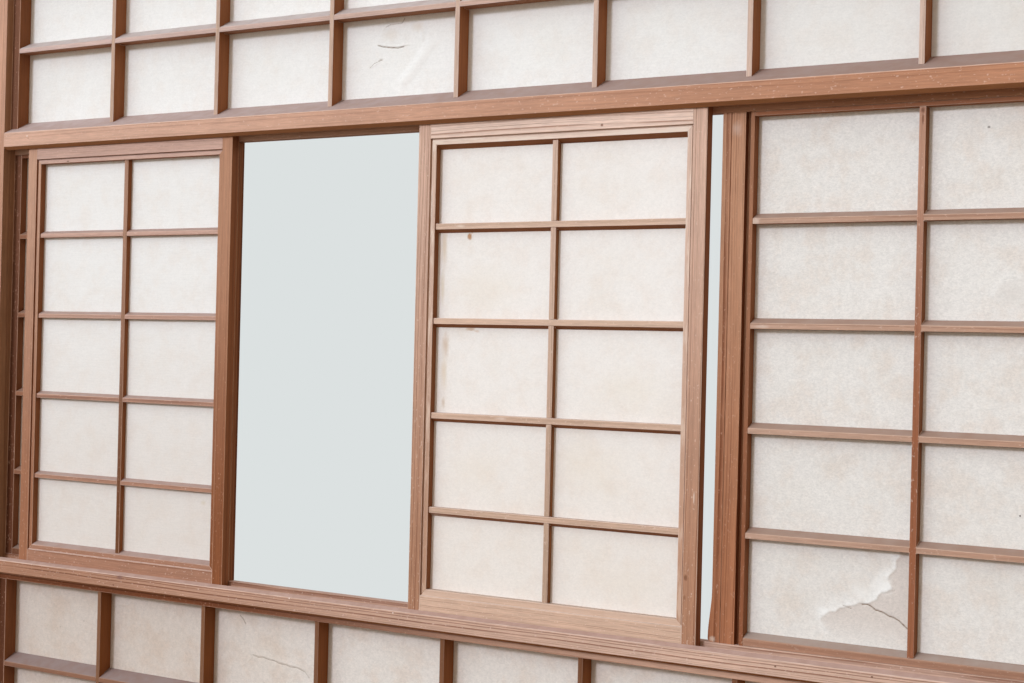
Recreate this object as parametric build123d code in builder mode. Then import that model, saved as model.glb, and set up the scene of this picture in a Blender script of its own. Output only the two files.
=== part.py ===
# Shoji leaf with two small sliding panels in its middle band.
# Millimetres. X runs to the right, Y to the back, Z up. The origin is at the middle of the leaf's foot.
import os
from math import radians, tan

from build123d import *

os.makedirs("parts", exist_ok=True)

# Leaf
columns = 8
column_pitch = 150
row_pitch = 88.6
leaf_depth = 28
stile_width = 30
weather_slope = 28  # degrees that the tops of the cross pieces fall towards the front

# Lattice bars of the upper and lower bands
bar_face = 5
bar_depth = 16
stile_strip = 11
upper_cell = 76.6
lower_cell = 84
column_drift = (0, 0, 0, 0, -0.7, -1.1, -2.1)  # how far the upright bars stand from even spacing

# Rails
top_rail_height = 32.3
bottom_rail_height = 37.5
upper_rail_face = 19.1
lower_rail_face = 15.1
head_strip_height = 6.5
head_strip_setback = 7
arris_radius = 1.5
upper_chamfer_height = 3.4
upper_chamfer_depth = 3
lower_chamfer = 2
tenon_length = 20
tenon_thickness = 8
tenon_shoulder = 3

# Track that the panels slide in
lip = 5
track_clearance = 0.5
lower_groove_depth = 3.6
upper_groove_depth = 8.7
lower_upstand = 2.7
upper_downstand = 4.1
panel_float = 0.3
panel_headroom = 4

# Opening, posts and side lattices
opening_width = 545.6
opening_height = 449.7
post_width = 21.2
post_gap = 4.8
post_web = 3
post_bead = 8
bead_groove = 1.2
foot_swell = 3.2
foot_swell_height = 45
lattice_face = 5.4
lattice_row_face = 4.8
lattice_row_pitch = 88.2
lattice_strip = 3.3
lattice_sill = 6.5
lattice_head = 4
lattice_clearance = 0.5

# Sliding panels
panel_width = 301.5
panel_thickness = 10
panel_stile = 13.5
panel_strip_setback = 1.5
panel_strip_groove = 1.2
panel_bar_face = 5.6
panel_upright_drift = -1.8
panel_bar_setback = 3
panel_paper_rebate = 1
panel_tenon_length = 8
panel_tenon_thickness = 3.6
# x is a panel's left edge as it stands here, and row_drift moves its rows up
left_panel = dict(x=-573.7, top_rail=16.8, bottom_rail=15.9, strip=5.2, row_face=4.4, row_drift=-0.6)
right_panel = dict(x=-38, top_rail=18.2, bottom_rail=17.4, strip=6, row_face=5.6, row_drift=0)

# Paper and joints
paper_thickness = 0.4
paper_rebate = 2.8
glue_width = 6
paper_margin = 1
joint_fit = 0.1

slope = tan(radians(weather_slope))

# Planes through the depth of the leaf
front_y = -leaf_depth / 2
back_y = leaf_depth / 2
paper_y = back_y - paper_rebate
bar_y = paper_y - bar_depth
bar_lap_y = (bar_y + paper_y) / 2
groove_front_y = front_y + lip
groove_back_y = groove_front_y + panel_thickness + 2 * track_clearance
lattice_y = groove_back_y + lattice_clearance
panel_front_y = groove_front_y + track_clearance
panel_back_y = panel_front_y + panel_thickness
panel_paper_y = panel_back_y - panel_paper_rebate
panel_strip_y = panel_front_y + panel_strip_setback
panel_bar_y = panel_front_y + panel_bar_setback
panel_lap_y = (panel_bar_y + panel_paper_y) / 2
panel_tenon_y = (panel_front_y + panel_back_y) / 2

# Columns, stiles and posts across the leaf
half_span = (columns * column_pitch - bar_face) / 2
stile_x = half_span + stile_strip
half_width = stile_x + stile_width
post_x = opening_width / 2
post_outer_x = post_x + post_width
strip_x = post_outer_x + post_gap
bay_x = strip_x + lattice_strip
side_column_x = half_span - column_pitch
bar_columns = [(column - columns / 2) * column_pitch + drift
               for column, drift in enumerate(column_drift, start=1)]

# Levels from the foot up
rail_rise = slope * (paper_y - front_y)
bar_rise = slope * bar_depth
bottom_rail_edge = bottom_rail_height + rail_rise
lower_crossbar_z = bottom_rail_edge + lower_cell
head_strip_z = lower_crossbar_z + bar_face + bar_rise + lower_cell
lower_rail_z = head_strip_z + head_strip_height
lower_arris_z = lower_rail_z + lower_rail_face
lip_top_z = lower_arris_z + slope * lip
groove_floor_z = lip_top_z - lower_groove_depth
sill_z = lip_top_z + lower_upstand
lattice_foot_z = sill_z + lattice_sill
head_z = sill_z + opening_height
lip_bottom_z = head_z + upper_downstand
groove_roof_z = lip_bottom_z + upper_groove_depth
upper_arris_z = lip_bottom_z + upper_rail_face
upper_rail_edge = upper_arris_z + rail_rise
upper_crossbar_z = upper_rail_edge + upper_cell
top_rail_z = upper_crossbar_z + bar_face + bar_rise + upper_cell
leaf_height = top_rail_z + top_rail_height
panel_bottom_z = groove_floor_z + panel_float
panel_top_z = groove_roof_z - panel_headroom
middle_z = (sill_z + head_z) / 2
row_levels = [middle_z + (row - 1.5) * row_pitch for row in range(4)]
lattice_row_levels = [middle_z + (row - 1.5) * lattice_row_pitch for row in range(4)]


def span(middle, width):
    return middle - width / 2, middle + width / 2


def mirrored(side, near, far):
    # The stretch from near to far on one side of the leaf's middle
    return sorted((side * near, side * far))


def along_x(outline, x_span, mode=Mode.ADD, top_arris=0):
    # A Y-Z outline carried along X. The front edge at the top can be rounded.
    with BuildSketch(Plane.YZ.offset(x_span[0])) as profile:
        with BuildLine():
            Polyline(*outline, close=True)
        make_face()
        if top_arris:
            fillet(profile.vertices().group_by(Axis.X)[0].sort_by(Axis.Y)[-1], top_arris)
    extrude(profile.sketch, amount=x_span[1] - x_span[0], mode=mode)


def along_z(outline, z_span, mode=Mode.ADD):
    # An X-Y outline carried up along Z
    with BuildSketch(Plane.XY.offset(z_span[0])) as profile:
        with BuildLine():
            Polyline(*outline, close=True)
        make_face()
    extrude(profile.sketch, amount=z_span[1] - z_span[0], mode=mode)


def block(x_span, y_span, z_span, mode=Mode.ADD):
    with BuildSketch(Plane.XY.offset(z_span[0])) as profile:
        with Locations((sum(x_span) / 2, sum(y_span) / 2)):
            Rectangle(x_span[1] - x_span[0], y_span[1] - y_span[0])
    extrude(profile.sketch, amount=z_span[1] - z_span[0], mode=mode)


def sloped_top(z, y_low, y_high, foot, from_y):
    # A bar's section: flat underneath at foot, and a top that rises to the back from z at from_y
    return [(y_low, foot), (y_high, foot), (y_high, z + slope * (y_high - from_y)),
            (y_low, z + slope * (y_low - from_y))]


def save(piece, name):
    piece.part.label = name
    export_step(piece.part, f"parts/{name}.step")


# Outer frame. Rails meet the stiles in stub tenons.

tenon_levels = {
    "bottom_rail": (0, bottom_rail_height),
    "lower_track_rail": (lower_rail_z, groove_floor_z),
    "upper_track_rail": (groove_roof_z, upper_arris_z + slope * (-tenon_thickness / 2 - front_y)),
    "top_rail": (top_rail_z, leaf_height),
}


def rail_tenon(side, rail, fit=0.0, mode=Mode.ADD):
    # With a fit it is the mortise that takes the tenon
    low, high = tenon_levels[rail]
    block(mirrored(side, stile_x, stile_x + tenon_length + fit), span(0, tenon_thickness + 2 * fit),
          (low + tenon_shoulder - fit, high - tenon_shoulder + fit), mode)


def upright(x_span, y_low, foot, head):
    # Upright bar whose foot is cut to the slope it stands on. foot is a point (y, z) of that slope.
    foot_y, foot_z = foot
    outline = [(y_low, foot_z + slope * (y_low - foot_y)), (paper_y, foot_z + slope * (paper_y - foot_y)),
               (paper_y, head), (y_low, head)]
    along_x(outline, x_span)


def build_stile(side):
    with BuildPart() as stile:
        block(mirrored(side, stile_x, half_width), (front_y, back_y), (0, leaf_height))
        for rail in tenon_levels:
            rail_tenon(side, rail, joint_fit, Mode.SUBTRACT)
        inner = mirrored(side, half_span, stile_x)
        upright(inner, bar_y, (front_y, bottom_rail_height), head_strip_z)
        block(inner, (lattice_y, paper_y), (sill_z, head_z))
        upright(inner, bar_y, (front_y, upper_arris_z), top_rail_z)
    return stile


def build_rail(rail_name, outline, top_arris=0):
    with BuildPart() as rail:
        along_x(outline, (-stile_x, stile_x), top_arris=top_arris)
        for side in (-1, 1):
            rail_tenon(side, rail_name)
    return rail


bottom_rail_outline = [
    (front_y, 0), (back_y, 0), (back_y, bottom_rail_edge - glue_width),
    (paper_y, bottom_rail_edge - glue_width), (paper_y, bottom_rail_edge), (front_y, bottom_rail_height),
]
top_rail_outline = [
    (front_y, top_rail_z), (paper_y, top_rail_z), (paper_y, top_rail_z + glue_width),
    (back_y, top_rail_z + glue_width), (back_y, leaf_height), (front_y, leaf_height),
]
lower_track_outline = [
    (front_y, lower_rail_z + lower_chamfer), (front_y + lower_chamfer, lower_rail_z),
    (paper_y, lower_rail_z), (paper_y, lower_rail_z + glue_width), (back_y, lower_rail_z + glue_width),
    (back_y, sill_z - glue_width), (paper_y, sill_z - glue_width), (paper_y, sill_z),
    (groove_back_y, sill_z), (groove_back_y, groove_floor_z), (groove_front_y, groove_floor_z),
    (groove_front_y, lip_top_z), (front_y, lower_arris_z),
]
upper_track_outline = [
    (front_y, lip_bottom_z + upper_chamfer_height), (front_y + upper_chamfer_depth, lip_bottom_z),
    (groove_front_y, lip_bottom_z), (groove_front_y, groove_roof_z), (groove_back_y, groove_roof_z),
    (groove_back_y, head_z), (paper_y, head_z), (paper_y, head_z + glue_width),
    (back_y, head_z + glue_width), (back_y, upper_rail_edge - glue_width),
    (paper_y, upper_rail_edge - glue_width), (paper_y, upper_rail_edge), (front_y, upper_arris_z),
]

save(build_stile(-1), "left_stile")
save(build_stile(1), "right_stile")
save(build_rail("bottom_rail", bottom_rail_outline, arris_radius), "bottom_rail")
save(build_rail("top_rail", top_rail_outline), "top_rail")
save(build_rail("lower_track_rail", lower_track_outline, arris_radius), "lower_track_rail")
save(build_rail("upper_track_rail", upper_track_outline, arris_radius), "upper_track_rail")

with BuildPart() as head_strip:
    block((-stile_x, stile_x), (front_y + head_strip_setback, paper_y), (head_strip_z, lower_rail_z))
save(head_strip, "lower_band_head_strip")


# Upper and lower bands: upright bars in front, one crossbar halved into their backs

def build_crossbar(z):
    with BuildPart() as crossbar:
        along_x(sloped_top(z + bar_face, bar_y, paper_y, z, bar_y), (-half_span, half_span))
        for x in bar_columns:
            block(span(x, bar_face + 2 * joint_fit), (bar_y, bar_lap_y + joint_fit),
                  (z, z + bar_face + bar_rise), Mode.SUBTRACT)
    return crossbar


def build_band_bar(x, foot, head, crossbar_z):
    with BuildPart() as bar:
        width = span(x, bar_face)
        upright(width, bar_y, foot, head)
        lap = sloped_top(crossbar_z + bar_face + joint_fit, bar_lap_y - joint_fit, paper_y,
                         crossbar_z - joint_fit, bar_y)
        along_x(lap, width, Mode.SUBTRACT)
    return bar


bands = {
    "lower_band": (lower_crossbar_z, (front_y, bottom_rail_height), head_strip_z),
    "upper_band": (upper_crossbar_z, (front_y, upper_arris_z), top_rail_z),
}
for band, (crossbar_z, foot, head) in bands.items():
    save(build_crossbar(crossbar_z), f"{band}_crossbar")
    for number, x in enumerate(bar_columns, start=1):
        save(build_band_bar(x, foot, head, crossbar_z), f"{band}_bar_{number}")


# Posts beside the opening. A web at the back joins each to the strip that carries the side lattice.

def build_post(side, swell):
    # swell is how far the post's foot flares into the opening
    inner, outer = side * post_x, side * post_outer_x
    with BuildPart() as post:
        with BuildSketch(Plane.XZ.offset(-lattice_y)) as face:
            with BuildLine():
                start = (inner, sill_z + foot_swell_height)
                end = (inner, sill_z)
                if swell:
                    widest = (inner - side * swell, sill_z + swell)
                    Spline(start, widest, tangents=((0, -1), (0, -1)))
                    JernArc(widest, (0, -1), swell, side * 90)
                else:
                    Line(start, end)
                Polyline(end, (outer, sill_z), (outer, head_z), (inner, head_z), start)
            make_face()
        extrude(face.sketch, amount=lattice_y - paper_y)
        block(mirrored(side, post_outer_x, strip_x), (paper_y - post_web, paper_y), (sill_z, head_z))
        block(mirrored(side, strip_x, bay_x), (lattice_y, paper_y), (sill_z, head_z))
        bead_low, bead_high = span(side * (post_x + post_bead), bead_groove)
        bead = [(bead_low, lattice_y), (bead_high, lattice_y),
                ((bead_low + bead_high) / 2, lattice_y + bead_groove)]
        along_z(bead, (sill_z, head_z), Mode.SUBTRACT)
    return post


# Side lattices behind the track: one upright and four rows glued up as one grid

def build_lattice(side, bay):
    with BuildPart() as lattice:
        upright(span(side * side_column_x, lattice_face), lattice_y, (lattice_y, lattice_foot_z),
                head_z - lattice_head)
        for z in lattice_row_levels:
            low, high = span(z, lattice_row_face)
            along_x(sloped_top(high, lattice_y, paper_y, low, lattice_y), bay)
    return lattice


for side, name, swell in ((-1, "left", 0), (1, "right", foot_swell)):
    save(build_post(side, swell), f"{name}_post")
    bay = mirrored(side, bay_x, half_span)
    save(build_lattice(side, bay), f"{name}_lattice_bars")
    with BuildPart() as bottom_strip:
        along_x(sloped_top(lattice_foot_z, lattice_y, paper_y, sill_z, lattice_y), bay)
    save(bottom_strip, f"{name}_lattice_bottom_strip")
    with BuildPart() as top_strip:
        block(bay, (lattice_y, paper_y), (head_z - lattice_head, head_z))
    save(top_strip, f"{name}_lattice_top_strip")


# Paper pasted on the backs of the bars

def build_paper(x_span, z_span, y=paper_y):
    with BuildPart() as paper:
        block(x_span, (y, y + paper_thickness), z_span)
    return paper


paste = glue_width - paper_margin
band_span = (-stile_x + paper_margin, stile_x - paper_margin)
save(build_paper(band_span, (bottom_rail_edge - paste, lower_rail_z + paste)), "lower_band_paper")
save(build_paper(band_span, (upper_rail_edge - paste, top_rail_z + paste)), "upper_band_paper")
for side, name in ((-1, "left"), (1, "right")):
    bay = mirrored(side, strip_x + paper_margin, stile_x - paper_margin)
    save(build_paper(bay, (sill_z - paste, head_z + paste)), f"{name}_lattice_paper")


# Sliding panels. In the left one the upright runs in front of the rows and the slopes face up.
# In the right one the rows run in front and the slopes face down.

groove_depth = (panel_strip_y, panel_strip_y + panel_strip_groove)


def panel_layout(panel):
    # The edges and levels of one panel. The light is the opening inside its strips.
    rail_span = (panel["x"] + panel_stile, panel["x"] + panel_width - panel_stile)
    rail_low = panel_bottom_z + panel["bottom_rail"]
    rail_high = panel_top_z - panel["top_rail"]
    strip = panel["strip"]
    return dict(
        panel, rail_span=rail_span, rail_low=rail_low, rail_high=rail_high,
        light_span=(rail_span[0] + strip, rail_span[1] - strip),
        light_low=rail_low + strip, light_high=rail_high - strip,
        upright_x=panel["x"] + panel_width / 2 + panel_upright_drift,
        rows=[z + panel["row_drift"] for z in row_levels],
        rails={"bottom_rail": (panel_bottom_z, rail_low), "top_rail": (rail_high, panel_top_z)},
    )


def panel_tenon(edge, side, levels, fit=0.0, mode=Mode.ADD):
    low, high = levels
    block(sorted((edge, edge + side * (panel_tenon_length + fit))),
          span(panel_tenon_y, panel_tenon_thickness + 2 * fit),
          (low + tenon_shoulder - fit, high - tenon_shoulder + fit), mode)


def mitred_strip(corners):
    # Strip inside the panel's frame, drawn in X-Z with mitred ends
    with BuildSketch(Plane.XZ.offset(-panel_strip_y)) as face:
        with BuildLine():
            Polyline(*corners, close=True)
        make_face()
    extrude(face.sketch, amount=panel_strip_y - panel_paper_y)


def build_panel_stile(layout, side):
    edge = layout["rail_span"][0 if side < 0 else 1]
    light = layout["light_span"][0 if side < 0 else 1]
    low, high = layout["rail_low"], layout["rail_high"]
    with BuildPart() as stile:
        block(sorted((edge, edge + side * panel_stile)), (panel_front_y, panel_back_y),
              (panel_bottom_z, panel_top_z))
        for levels in layout["rails"].values():
            panel_tenon(edge, side, levels, joint_fit, Mode.SUBTRACT)
        mitred_strip([(edge, low), (light, layout["light_low"]), (light, layout["light_high"]), (edge, high)])
        block(sorted((edge, edge - side * panel_strip_groove)), groove_depth, (low, high), Mode.SUBTRACT)
    return stile


def build_panel_rail(layout, rail_name, sloping):
    rail_span, light_span = layout["rail_span"], layout["light_span"]
    low, high = layout["rails"][rail_name]
    top = rail_name == "top_rail"
    edge_z, light_z = (low, layout["light_high"]) if top else (high, layout["light_low"])
    with BuildPart() as rail:
        block(rail_span, (panel_front_y, panel_back_y), (low, high))
        mitred_strip([(rail_span[0], edge_z), (rail_span[1], edge_z), (light_span[1], light_z),
                      (light_span[0], light_z)])
        if top:
            block(rail_span, groove_depth, (low - panel_strip_groove, low), Mode.SUBTRACT)
        if sloping:
            rise = slope * (panel_paper_y - panel_strip_y)
            along_x([(panel_strip_y, light_z), (panel_paper_y, light_z),
                     (panel_paper_y, light_z - rise if top else light_z + rise)], light_span)
        for edge, side in zip(rail_span, (-1, 1)):
            panel_tenon(edge, side, (low, high))
    return rail


def row_section(z, face, y_low, y_high, slopes_down):
    low, high = span(z, face)
    if not slopes_down:
        return sloped_top(high, y_low, y_high, low, panel_bar_y)
    return [(y_low, high), (y_high, high), (y_high, low - slope * (y_high - panel_bar_y)),
            (y_low, low - slope * (y_low - panel_bar_y))]


def build_panel_row(layout, z, slopes_down):
    # Halved where it crosses the upright
    section = row_section(z, layout["row_face"], panel_bar_y, panel_paper_y, slopes_down)
    notch = (panel_bar_y, panel_lap_y + joint_fit)
    if slopes_down:
        notch = (panel_lap_y - joint_fit, panel_paper_y)
    with BuildPart() as row:
        along_x(section, layout["light_span"])
        width = span(layout["upright_x"], panel_bar_face + 2 * joint_fit)
        block(width, notch, span(z, row_pitch), Mode.SUBTRACT)
    return row


def build_panel_upright(layout, slopes_down):
    low, high = layout["light_low"], layout["light_high"]
    width = span(layout["upright_x"], panel_bar_face)
    notch = (panel_bar_y, panel_lap_y) if slopes_down else (panel_lap_y, panel_paper_y)
    front_rise = slope * (panel_bar_y - panel_strip_y)
    back_rise = slope * (panel_paper_y - panel_strip_y)
    outline = [(panel_bar_y, low + front_rise), (panel_paper_y, low + back_rise), (panel_paper_y, high),
               (panel_bar_y, high)]
    if slopes_down:
        outline = [(panel_bar_y, low), (panel_paper_y, low), (panel_paper_y, high - back_rise),
                   (panel_bar_y, high - front_rise)]
    with BuildPart() as bar:
        along_x(outline, width)
        for z in layout["rows"]:
            lap = row_section(z, layout["row_face"] + 2 * joint_fit, *notch, slopes_down)
            along_x(lap, width, Mode.SUBTRACT)
    return bar


def save_panel(name, panel, slopes_down):
    layout = panel_layout(panel)
    save(build_panel_stile(layout, -1), f"{name}_left_stile")
    save(build_panel_stile(layout, 1), f"{name}_right_stile")
    save(build_panel_rail(layout, "bottom_rail", not slopes_down), f"{name}_bottom_rail")
    save(build_panel_rail(layout, "top_rail", slopes_down), f"{name}_top_rail")
    for number, z in enumerate(layout["rows"], start=1):
        save(build_panel_row(layout, z, slopes_down), f"{name}_row_{number}")
    save(build_panel_upright(layout, slopes_down), f"{name}_upright")
    left, right = layout["rail_span"]
    save(build_paper((left + paper_margin, right - paper_margin),
                     (layout["rail_low"] + paper_margin, layout["rail_high"] - paper_margin),
                     panel_paper_y), f"{name}_paper")


save_panel("left_panel", left_panel, slopes_down=False)
save_panel("right_panel", right_panel, slopes_down=True)
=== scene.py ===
# Shoji leaf: weathered cedar, pasted paper and two small sliding panels, lit from the upper left.
import math

import bmesh
import bpy
from mathutils import Matrix, Vector, noise


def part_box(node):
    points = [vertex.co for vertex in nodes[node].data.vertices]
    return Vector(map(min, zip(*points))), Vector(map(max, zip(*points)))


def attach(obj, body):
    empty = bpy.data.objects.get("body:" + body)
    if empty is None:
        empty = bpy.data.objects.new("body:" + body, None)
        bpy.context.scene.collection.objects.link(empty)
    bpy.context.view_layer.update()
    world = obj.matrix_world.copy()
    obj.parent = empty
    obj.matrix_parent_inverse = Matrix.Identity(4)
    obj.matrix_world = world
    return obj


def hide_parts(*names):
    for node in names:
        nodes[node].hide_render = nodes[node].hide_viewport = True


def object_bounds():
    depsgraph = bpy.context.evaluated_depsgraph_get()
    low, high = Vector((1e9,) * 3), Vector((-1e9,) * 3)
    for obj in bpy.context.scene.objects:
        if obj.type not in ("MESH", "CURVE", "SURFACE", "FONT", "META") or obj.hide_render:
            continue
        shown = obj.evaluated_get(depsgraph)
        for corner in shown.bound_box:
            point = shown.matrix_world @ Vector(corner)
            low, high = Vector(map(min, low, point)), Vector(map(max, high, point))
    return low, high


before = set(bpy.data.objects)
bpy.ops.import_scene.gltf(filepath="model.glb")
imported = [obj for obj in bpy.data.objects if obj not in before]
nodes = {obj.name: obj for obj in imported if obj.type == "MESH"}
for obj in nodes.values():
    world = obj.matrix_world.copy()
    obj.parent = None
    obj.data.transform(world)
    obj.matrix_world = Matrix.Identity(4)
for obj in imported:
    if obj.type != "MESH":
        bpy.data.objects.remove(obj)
cadBox = [list(corner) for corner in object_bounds()]
mm = 0.001
print("frame loaded:", len(nodes), "nodes")


def tint(red, green, blue, alpha=1.0):
    # Screen colour (0 to 255) as the linear colour that the nodes take
    linear = []
    for channel in (red, green, blue):
        c = channel / 255
        linear.append(c / 12.92 if c <= 0.04045 else ((c + 0.055) / 1.055) ** 2.4)
    return (*linear, alpha)


# Camera, as fitted to the photograph's lines

cameraView = dict(place=(905.9, -1308.8, 505.4), yaw=32.68, pitch=0.2, roll=1.39, focal=1700, width=1024,
                  sensor=36)


def makeCamera():
    view = cameraView
    yaw, pitch, roll = (math.radians(view[key]) for key in ("yaw", "pitch", "roll"))
    ahead = Vector((-math.sin(yaw), math.cos(yaw), 0))
    right = Vector((math.cos(yaw), math.sin(yaw), 0))
    up = Vector((0, 0, 1))
    ahead, up = (ahead * math.cos(pitch) + up * math.sin(pitch),
                 up * math.cos(pitch) - ahead * math.sin(pitch))
    right, up = (right * math.cos(roll) + up * math.sin(roll),
                 up * math.cos(roll) - right * math.sin(roll))
    data = bpy.data.cameras.new("camera")
    data.sensor_width = view["sensor"]
    data.lens = view["focal"] / view["width"] * view["sensor"]
    camera = bpy.data.objects.new("camera", data)
    turn = Matrix((right, up, -ahead)).transposed()
    camera.matrix_world = Matrix.Translation(Vector(view["place"]) * mm) @ turn.to_4x4()
    bpy.context.scene.collection.objects.link(camera)
    bpy.context.scene.camera = camera


makeCamera()


# Small helpers for building node trees

def plug(tree, socket, value):
    if isinstance(value, bpy.types.NodeSocket):
        tree.links.new(value, socket)
    else:
        socket.default_value = value


def newNode(tree, kind, inputs=None, **settings):
    node = tree.nodes.new(kind)
    for name, value in settings.items():
        setattr(node, name, value)
    for name, value in (inputs or {}).items():
        plug(tree, node.inputs[name], value)
    return node


def calc(tree, operation, a, b=0.0):
    return newNode(tree, "ShaderNodeMath", {0: a, 1: b}, operation=operation).outputs[0]


def remap(tree, value, low, high, outLow=0.0, outHigh=1.0):
    return newNode(tree, "ShaderNodeMapRange", {"Value": value, "From Min": low, "From Max": high,
                                                "To Min": outLow, "To Max": outHigh},
                   interpolation_type="SMOOTHSTEP").outputs["Result"]


def mixColour(tree, factor, a, b, blend="MIX"):
    return newNode(tree, "ShaderNodeMix", {0: factor, 6: a, 7: b}, data_type="RGBA",
                   blend_type=blend).outputs[2]


def shaded(tree, colour, brightness):
    # The colour made lighter or darker by a plain number
    grey = newNode(tree, "ShaderNodeCombineColor", {0: brightness, 1: brightness, 2: brightness}).outputs[0]
    return mixColour(tree, 1.0, colour, grey, "MULTIPLY")


def vectorMath(tree, operation, a, b):
    return newNode(tree, "ShaderNodeVectorMath", {0: a, 1: b}, operation=operation)


def scaled(tree, vector, amounts):
    return vectorMath(tree, "MULTIPLY", vector, amounts).outputs[0]


def noiseAt(tree, vector, scale, detail=2.0, roughness=0.5, distortion=0.0):
    return newNode(tree, "ShaderNodeTexNoise", {"Vector": vector, "Scale": scale, "Detail": detail,
                                                "Roughness": roughness,
                                                "Distortion": distortion}).outputs["Fac"]


def noiseAlong(tree, value, scale, detail=1.0):
    return newNode(tree, "ShaderNodeTexNoise", {"W": value, "Scale": scale, "Detail": detail},
                   noise_dimensions="1D").outputs["Fac"]


def newGroup(name, inputs, outputs):
    group = bpy.data.node_groups.new(name, "ShaderNodeTree")
    for socketName, kind, default in inputs:
        socket = group.interface.new_socket(socketName, in_out="INPUT", socket_type=kind)
        if default is not None:
            socket.default_value = default
    for socketName, kind in outputs:
        group.interface.new_socket(socketName, in_out="OUTPUT", socket_type=kind)
    return group, group.nodes.new("NodeGroupInput").outputs, group.nodes.new("NodeGroupOutput").inputs


def placeGroup(tree, group, inputs):
    node = newNode(tree, "ShaderNodeGroup", node_tree=group)
    for name, value in inputs.items():
        plug(tree, node.inputs[name], value)
    return node.outputs


def newMaterial(name):
    material = bpy.data.materials.new(name)
    material.use_nodes = True
    return material, material.node_tree, material.node_tree.nodes["Principled BSDF"]


# Straight grain of old cedar, along the vector's X. Each ring darkens slowly and ends sharply.

grainLook = dict(ring=(0, 0.45, 0.9), drift=(2.2, 9, 9), wobble=(12, 160, 160), wobbleReach=1.2 * mm,
                 crowdingScale=0.45, crowding=2.6, darkening=(0.45, 0.92), ringEnd=(1.0, 0.95),
                 patches=(9, 220, 220), fine=(60, 900, 900), cloud=(9, 60, 60))


def makeGrainGroup():
    look = grainLook
    group, given, out = newGroup(
        "straightGrain",
        [("Vector", "NodeSocketVector", None), ("Ring", "NodeSocketVector", look["ring"]),
         ("Spacing", "NodeSocketFloat", 0.0035), ("Wander", "NodeSocketFloat", 0.004)],
        [("Lines", "NodeSocketFloat"), ("Fine", "NodeSocketFloat"), ("Cloud", "NodeSocketFloat")])
    vector = given["Vector"]
    across = vectorMath(group, "DOT_PRODUCT", vector, given["Ring"]).outputs["Value"]
    drift = calc(group, "SUBTRACT", noiseAt(group, scaled(group, vector, look["drift"]), 1.0, 1.0), 0.5)
    wobble = calc(group, "SUBTRACT", noiseAt(group, scaled(group, vector, look["wobble"]), 1.0, 2.0), 0.5)
    bend = calc(group, "ADD", calc(group, "MULTIPLY", drift, given["Wander"]),
                calc(group, "MULTIPLY", wobble, look["wobbleReach"]))
    even = calc(group, "DIVIDE", calc(group, "ADD", across, bend), given["Spacing"])
    crowding = calc(group, "MULTIPLY", noiseAlong(group, even, look["crowdingScale"], 2.0), look["crowding"])
    rings = calc(group, "ADD", even, crowding)
    ring = calc(group, "FRACT", rings)
    late = calc(group, "MULTIPLY", remap(group, ring, *look["darkening"]),
                remap(group, ring, *look["ringEnd"]))
    own = newNode(group, "ShaderNodeTexWhiteNoise", {"W": calc(group, "FLOOR", rings)},
                  noise_dimensions="1D").outputs["Value"]
    patchy = noiseAt(group, scaled(group, vector, look["patches"]), 1.0, 2.0)
    broken = remap(group, patchy, 0.28, 0.55, 0.35, 1.0)
    strength = calc(group, "MULTIPLY", remap(group, own, 0.1, 0.9, 0.25, 1.0), broken)
    plug(group, out["Lines"], calc(group, "MULTIPLY", late, strength))
    plug(group, out["Fine"], noiseAt(group, scaled(group, vector, look["fine"]), 1.0, 3.0, 0.7))
    plug(group, out["Cloud"], noiseAt(group, scaled(group, vector, look["cloud"]), 1.0, 3.0, 0.6))
    return group


# Which way a surface faces: tops that hold dust, bleached fronts and rubbed arrises. A face that points along
# none of the flats (square, the 28 degree slopes, the chamfers under the rails) belongs to a rounded arris.

facingLook = dict(
    flats=((1, 0, 0), (0, 1, 0), (0, 0, 1), (0, -0.469, 0.883), (0, 0.469, 0.883), (0, 0.72, 0.69)),
    top=(0.66, 0.8), front=(-0.78, -0.92), arris=(0.985, 0.94))


def makeFacingGroup():
    group, given, out = newGroup(
        "facing", [("Normal", "NodeSocketVector", None)],
        [("Top", "NodeSocketFloat"), ("Front", "NodeSocketFloat"), ("Arris", "NodeSocketFloat")])
    normal = given["Normal"]
    split = newNode(group, "ShaderNodeSeparateXYZ", {0: normal}).outputs
    squareness = 0.0
    for axis in facingLook["flats"]:
        along = vectorMath(group, "DOT_PRODUCT", normal, axis).outputs["Value"]
        squareness = calc(group, "MAXIMUM", calc(group, "ABSOLUTE", along), squareness)
    plug(group, out["Top"], remap(group, split["Z"], *facingLook["top"]))
    plug(group, out["Front"], remap(group, split["Y"], *facingLook["front"]))
    plug(group, out["Arris"], remap(group, squareness, *facingLook["arris"]))
    return group


# A soft round mark at one place on the front, with an uneven rim

markRim = dict(scale=2.2, ragged=0.7)


def makeMarkGroup():
    group, given, out = newGroup(
        "softMark",
        [("Vector", "NodeSocketVector", None), ("Centre", "NodeSocketVector", (0, 0, 0)),
         ("Size", "NodeSocketVector", (0.01, 1, 0.01)), ("Softness", "NodeSocketFloat", 0.5)],
        [("Mask", "NodeSocketFloat")])
    away = vectorMath(group, "SUBTRACT", given["Vector"], given["Centre"]).outputs[0]
    shape = vectorMath(group, "DIVIDE", away, given["Size"]).outputs[0]
    reach = vectorMath(group, "LENGTH", scaled(group, shape, (1, 0, 1)), (0, 0, 0)).outputs["Value"]
    ragged = calc(group, "SUBTRACT", noiseAt(group, shape, markRim["scale"], 3.0), 0.5)
    edge = calc(group, "ADD", reach, calc(group, "MULTIPLY", ragged, markRim["ragged"]))
    inner = calc(group, "SUBTRACT", 1.0, given["Softness"])
    plug(group, out["Mask"], remap(group, edge, 1.0, inner))
    return group


grainGroup = makeGrainGroup()
facingGroup = makeFacingGroup()
markGroup = makeMarkGroup()


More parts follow.
